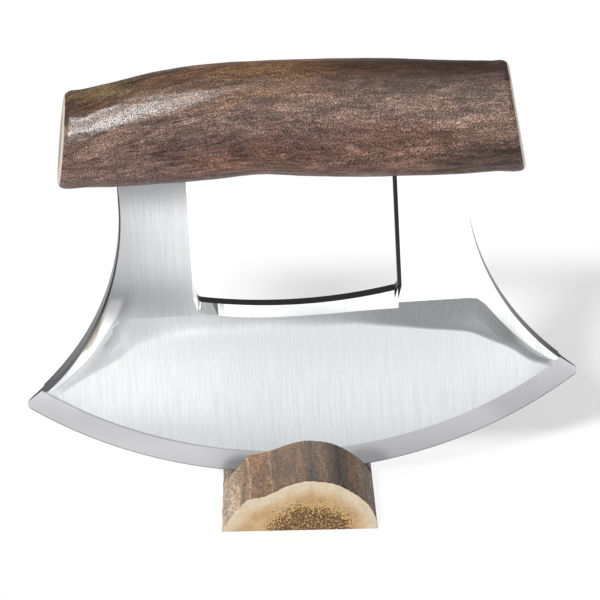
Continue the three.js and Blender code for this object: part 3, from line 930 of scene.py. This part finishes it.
def makeStand(s):
    deselectAll()
    count = s["archPoints"]
    bpy.ops.mesh.primitive_circle_add(vertices=count + 1, radius=s["width"] / 2, fill_type="NGON")
    stand = bpy.context.object
    stand.name = "antler_stand"
    editAll("FACE")

    # The disc's rim is laid along the arch, from foot to foot.
    stations = [[i / (len(s["arch"]) - 1), *shares] for i, shares in enumerate(s["arch"])]
    mesh = bmesh.from_edit_mesh(stand.data)
    mesh.verts.ensure_lookup_table()
    for i, vertex in enumerate(mesh.verts):
        across, up = atPlace(stations, i / count)
        vertex.co = (across * s["width"] / 2, -s["length"] / 2, max(up, 0) * s["height"])
    bmesh.update_edit_mesh(stand.data)
    bpy.ops.mesh.select_all(action="SELECT")
    rightFoot = s["width"] / 2
    for here, there in zip(s["sections"], s["sections"][1:]):
        step = (there[0] - here[0]) * s["length"]
        bpy.ops.mesh.extrude_region_move(TRANSFORM_OT_translate={"value": (0, step, 0)})
        widths, heights = there[1] / here[1], there[2] / here[2]
        bpy.ops.transform.resize(value=(widths, 1, heights), center_override=(rightFoot, 0, 0))
    mesh = bmesh.from_edit_mesh(stand.data)
    for vertex in mesh.verts:
        place = vertex.co.y / s["length"] + 0.5
        centre, width = s["dip"]
        dip = math.exp(-(((vertex.co.x / (s["width"] / 2) - centre) / width) ** 2))
        vertex.co.z += s["backRise"] * place * dip * min(vertex.co.z / s["backRiseFrom"], 1)
    bmesh.update_edit_mesh(stand.data)
    bpy.ops.mesh.select_all(action="SELECT")
    bpy.ops.mesh.normals_make_consistent(inside=False)
    objectMode()

    cutter = (2 * s["width"], s["slotWidth"], 2 * s["height"])
    cutWith(stand, addBlock(cutter, (0, 0, s["slotFloor"] + s["height"])))
    skin = stand.modifiers.new("skin", "REMESH")
    skin.mode = "VOXEL"
    skin.voxel_size = s["skin"]
    applyModifiers(stand)
    makeActive(stand)
    bpy.ops.object.shade_smooth_by_angle(angle=s["creaseAngle"])
    return stand


def finishStand(stand, s):
    def finishOf(polygon):
        centre, normal = polygon.center, polygon.normal
        if abs(normal.y) > s["sawnFacing"] and abs(centre.y) > s["length"] / 2 - s["endReach"]:
            return 1
        if abs(centre.y) < s["slotWidth"] / 2 + s["slotReach"] and normal.z > -s["sawnFacing"]:
            return 2
        if normal.z < -s["sawnFacing"]:
            return 3
        return 0

    finishes = ("standBark", "standSawn", "standBark", "standSawn")
    setFinishes(stand, finishes, finishOf)
    stand.visible_glossy = False        # the steel doesn't mirror it
    measureFromBark(stand)
    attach(stand, "stand")
    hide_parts("stand")


finishStand(makeStand(standSizes), standSizes)
print("stand made")


# Studio: a pale floor, one key lamp and an even sky

studio = {
    "fill": 0.66,
    "keyPower": 124,
    "keySize": 0.6,
    "keyDirection": Vector((-0.57, -1.18, 1)),
    "keyDistance": 4,
    "floorSize": 8.0,
    # How much of the floor's white is its own: near the blade and far behind it, changing between two
    # places by y, all of it left of the stand by x, and most of it in front, fading out behind by y.
    "floorGlow": (0.25, 1.0),
    "floorGlowFrom": (116 * mm, 144 * mm),
    "floorGlowLeft": (-15 * mm, -23 * mm),
    "floorGlowFront": (18 * mm, 38 * mm, 0.85, 0.0),
    # distance from the blade in millimetres, and the level that gloss sees there: in front, on the
    # left in front, and behind
    "floorInGloss": [
        (0, 0.6), (12, 0.63), (20, 0.74), (28, 0.83), (40, 0.96), (58, 1.02), (74, 0.95), (83, 0.75),
        (90, 0.85), (98, 1.15), (120, 1.35), (200, 1.35), (300, 0.5), (400, 0.45), (700, 0.7),
    ],
    "leftInGloss": [
        (0, 0.7), (11, 0.86), (16, 0.92), (24, 0.83), (33, 0.82), (43, 1.1), (56, 1.2), (70, 1.18),
        (80, 1.02), (96, 0.72), (106, 0.58), (114, 0.44), (122, 0.44), (130, 0.6), (142, 0.8), (160, 0.86),
        (172, 0.98), (179, 0.85), (186, 0.38), (200, 0.34), (300, 0.3), (400, 0.35), (700, 0.7),
    ],
    "behindInGloss": [(0, 0.6), (20, 0.74), (58, 1.0), (90, 1.0), (128, 0.8), (400, 0.75), (900, 0.6)],
    "leftFrom": (-12 * mm, -28 * mm),
    "behindFrom": (0, 10 * mm),
    # place and size in millimetres, and what the level there is times
    "spotsInGloss": [
        ((-56, -93), (13, 22), 1.9), ((76, -36), (26, 20), 0.78), ((-22, -226), (14, 50), 0.2),
        ((-56, -150), (20, 50), 0.8), ((-15, -7), (8, 8), 0.5), ((21, -9), (9, 8), 0.65),
        ((82, -82), (22, 24), 1.9), ((-29, -150), (10, 60), 1.15),
    ],
    # height of the direction, and the level that gloss sees there in front and behind, which meet
    # between these places by y
    "skyTurn": (-0.25, 0.25),
    "skyInFront": [(0, 0.9), (0.2, 0.6), (0.5, 0.25), (1, 0.3)],
    "skyBehind": [(0, 0.3), (0.2, 0.28), (0.5, 0.32), (1, 0.5)],
    # a tall box of light in front, by its direction's x and z
    "softboxAcross": (-0.12, 0.2, 0.5),
    "softboxUp": (0.0, 0.12, 0.95, 1.0),
    "softboxLevel": 6.5,
    # A card that only gloss sees leans out of the blade over the hollow's fillet. In the knife's frame:
    # across, height of its near edge, its level there and farther out, and how far out it reaches
    "card": [
        (-68, 29, 0.8, 0.6, 16), (-62, 33, 0.8, 0.6, 18), (-56, 36.5, 0.8, 0.64, 20),
        (-50, 40, 0.82, 0.7, 20),
        (-46, 43.5, 0.85, 0.72, 20), (-38, 45.5, 1.0, 0.74, 20), (-30, 46, 1.15, 0.66, 18),
        (-20, 46.5, 0.95, 0.5, 14), (-10, 46.5, 0.95, 0.32, 14), (0, 46, 0.82, 0.33, 14),
        (15, 46, 0.5, 0.37, 14), (24, 44.8, 0.36, 0.37, 19), (30, 43.9, 0.32, 0.36, 31),
        (36, 42.9, 0.29, 0.36, 39), (42, 42.1, 0.27, 0.36, 42), (47.5, 41, 0.26, 0.36, 42),
        (53, 38.1, 0.26, 0.36, 38), (58.4, 35.2, 0.26, 0.36, 32), (63.8, 30.8, 0.28, 0.37, 26),
        (66.6, 29.6, 0.28, 0.37, 19), (70, 28.2, 0.28, 0.37, 16),
    ],
    "cardOff": 1.2 * mm,
    "cardOut": Vector((0.08, -1, -0.35)),
    # it fades in up to the first of these, and its level changes from there to the second
    "cardRows": (3 * mm, 8 * mm),
    # shares of its reach between which it fades out
    "cardFade": (0.8, 1.3),
    "cardColumns": 80,
}


def levels(tree, value, table):
    top = table[-1][0]
    peak = max(level for _, level in table)
    stops = [(at / top, (level / peak,) * 3) for at, level in table]
    return product(tree, ramp(tree, maths(tree, "DIVIDE", value, top), stops), peak)


def makeFloor(s):
    deselectAll()
    bpy.ops.mesh.primitive_plane_add(size=s["floorSize"])
    floor = bpy.context.object
    floor.name = "floor"
    material, tree, shader, coordinates = newMaterial("pale floor")
    shader.inputs["Base Color"].default_value = (0.97, 0.97, 0.975, 1)
    shader.inputs["Roughness"].default_value = 0.9
    shader.inputs["Specular IOR Level"].default_value = 0
    path = tree.nodes.new("ShaderNodeLightPath")
    parts = separated(tree, coordinates)
    away = maths(tree, "DIVIDE", maths(tree, "ABSOLUTE", parts[1]), mm)
    onLeft = ranged(tree, parts[0], *s["leftFrom"])
    inGloss = levels(tree, away, s["floorInGloss"])
    inGloss = between(tree, onLeft, inGloss, levels(tree, away, s["leftInGloss"]))
    behind = ranged(tree, parts[1], *s["behindFrom"])
    inGloss = between(tree, behind, inGloss, levels(tree, away, s["behindInGloss"]))
    for (x, y), (wide, deep), level in s["spotsInGloss"]:
        here = spot(tree, coordinates, (x * mm, y * mm, 0), (wide * mm, deep * mm, 1))
        inGloss = product(tree, inGloss, ranged(tree, here, 0, 1, 1, level))
    glowing = maths(
        tree, "MAXIMUM", ranged(tree, parts[1], *s["floorGlowFrom"], *s["floorGlow"]),
        ranged(tree, parts[0], *s["floorGlowLeft"]),
    )
    glowing = maths(tree, "MAXIMUM", glowing, ranged(tree, parts[1], *s["floorGlowFront"]))
    glowing = product(tree, path.outputs["Is Camera Ray"], glowing)
    surface = blended(tree, glowing, shader.outputs[0], emission(tree, 1.0))
    surface = blended(tree, path.outputs["Is Glossy Ray"], surface, emission(tree, inGloss))
    tree.links.new(surface, tree.nodes["Material Output"].inputs["Surface"])
    floor.data.materials.append(material)


def makeLights(s):
    lamp = bpy.data.lights.new("key", "AREA")
    lamp.shape = "DISK"
    lamp.size = s["keySize"]
    lamp.energy = s["keyPower"]
    key = addObject("key", lamp)
    key.location = s["keyDirection"].normalized() * s["keyDistance"]
    key.rotation_euler = (-s["keyDirection"]).to_track_quat("-Z", "Y").to_euler()
    key.visible_glossy = False

    world = bpy.data.worlds.new("sky")
    bpy.context.scene.world = world
    world.use_nodes = True
    tree = world.node_tree
    background = tree.nodes["Background"]
    path = tree.nodes.new("ShaderNodeLightPath")
    direction = tree.nodes.new("ShaderNodeTexCoord").outputs["Generated"]
    parts = separated(tree, direction)
    height = maths(tree, "MAXIMUM", parts[2], 0)
    behind = ranged(tree, parts[1], *s["skyTurn"])
    inFront = levels(tree, height, s["skyInFront"])
    inGloss = between(tree, behind, inFront, levels(tree, height, s["skyBehind"]))
    middle, near, far = s["softboxAcross"]
    across = ranged(tree, maths(tree, "ABSOLUTE", maths(tree, "SUBTRACT", parts[0], middle)), near, far, 1, 0)
    low, full, top, over = s["softboxUp"]
    tall = product(tree, ranged(tree, parts[2], low, full), ranged(tree, parts[2], top, over, 1, 0))
    box = product(tree, across, tall, maths(tree, "SUBTRACT", 1.0, behind), s["softboxLevel"])
    inGloss = maths(tree, "ADD", inGloss, box)
    seen = maths(tree, "MAXIMUM", path.outputs["Is Camera Ray"], path.outputs["Is Transmission Ray"])
    level = between(tree, seen, s["fill"], 1.0)
    level = between(tree, path.outputs["Is Glossy Ray"], level, inGloss)
    tree.links.new(level, background.inputs["Strength"])
    background.inputs["Color"].default_value = (1, 1, 1, 1)


def makeCard(s):
    material, tree, shader, coordinates = newMaterial("card")
    tone = meshValue(tree, "level")
    cover = meshValue(tree, "cover")
    clear = tree.nodes.new("ShaderNodeBsdfTransparent").outputs[0]
    surface = blended(tree, cover, clear, emission(tree, tone))
    tree.links.new(surface, tree.nodes["Material Output"].inputs["Surface"])
    points, shades, covers, quads = [], [], [], []
    left, right = s["card"][0][0], s["card"][-1][0]
    for i in range(s["cardColumns"] + 1):
        x = left + (right - left) * i / s["cardColumns"]
        z, near, far, reach = atPlace(s["card"], x)
        edge = Vector((x * mm, -s["cardOff"], z * mm))
        rows = (0, *s["cardRows"], *(share * reach * mm for share in s["cardFade"]))
        points += [edge + s["cardOut"] * row for row in rows]
        shades += [near, near, far, far, far]
        covers += [0, 1, 1, 1, 0]
        if i:
            quads += [(k, k + 1, k + 6, k + 5) for k in range(5 * i - 5, 5 * i - 1)]
    mesh = bpy.data.meshes.new("card")
    mesh.from_pydata(points, [], quads)
    mesh.transform(knifePlace)
    keepOn(mesh, "level", shades)
    keepOn(mesh, "cover", covers)
    mesh.materials.append(material)
    card = addObject("card", mesh)
    card.visible_camera = card.visible_diffuse = card.visible_shadow = card.visible_transmission = False


makeFloor(studio)
makeLights(studio)
makeCard(studio)

# Camera at the photograph's angle
shot = {
    "azimuth": math.radians(-2.5),
    "elevation": math.radians(28),
    "distance": 1.5,
    "target": Vector((1.1, 0, 59.1)) * mm,
    "lens": 325.66,
}


def makeCamera(s):
    data = bpy.data.cameras.new("camera")
    data.lens = s["lens"]
    data.sensor_width = 36
    data.clip_start = 0.01
    camera = addObject("camera", data)
    level = math.cos(s["elevation"])
    away = Vector((math.sin(s["azimuth"]) * level, -math.cos(s["azimuth"]) * level, math.sin(s["elevation"])))
    camera.location = s["target"] + away * s["distance"]
    camera.rotation_euler = (-away).to_track_quat("-Z", "Y").to_euler()
    bpy.context.scene.camera = camera


makeCamera(shot)
bpy.context.scene.view_settings.view_transform = "Standard"
deselectAll()
print("studio made")
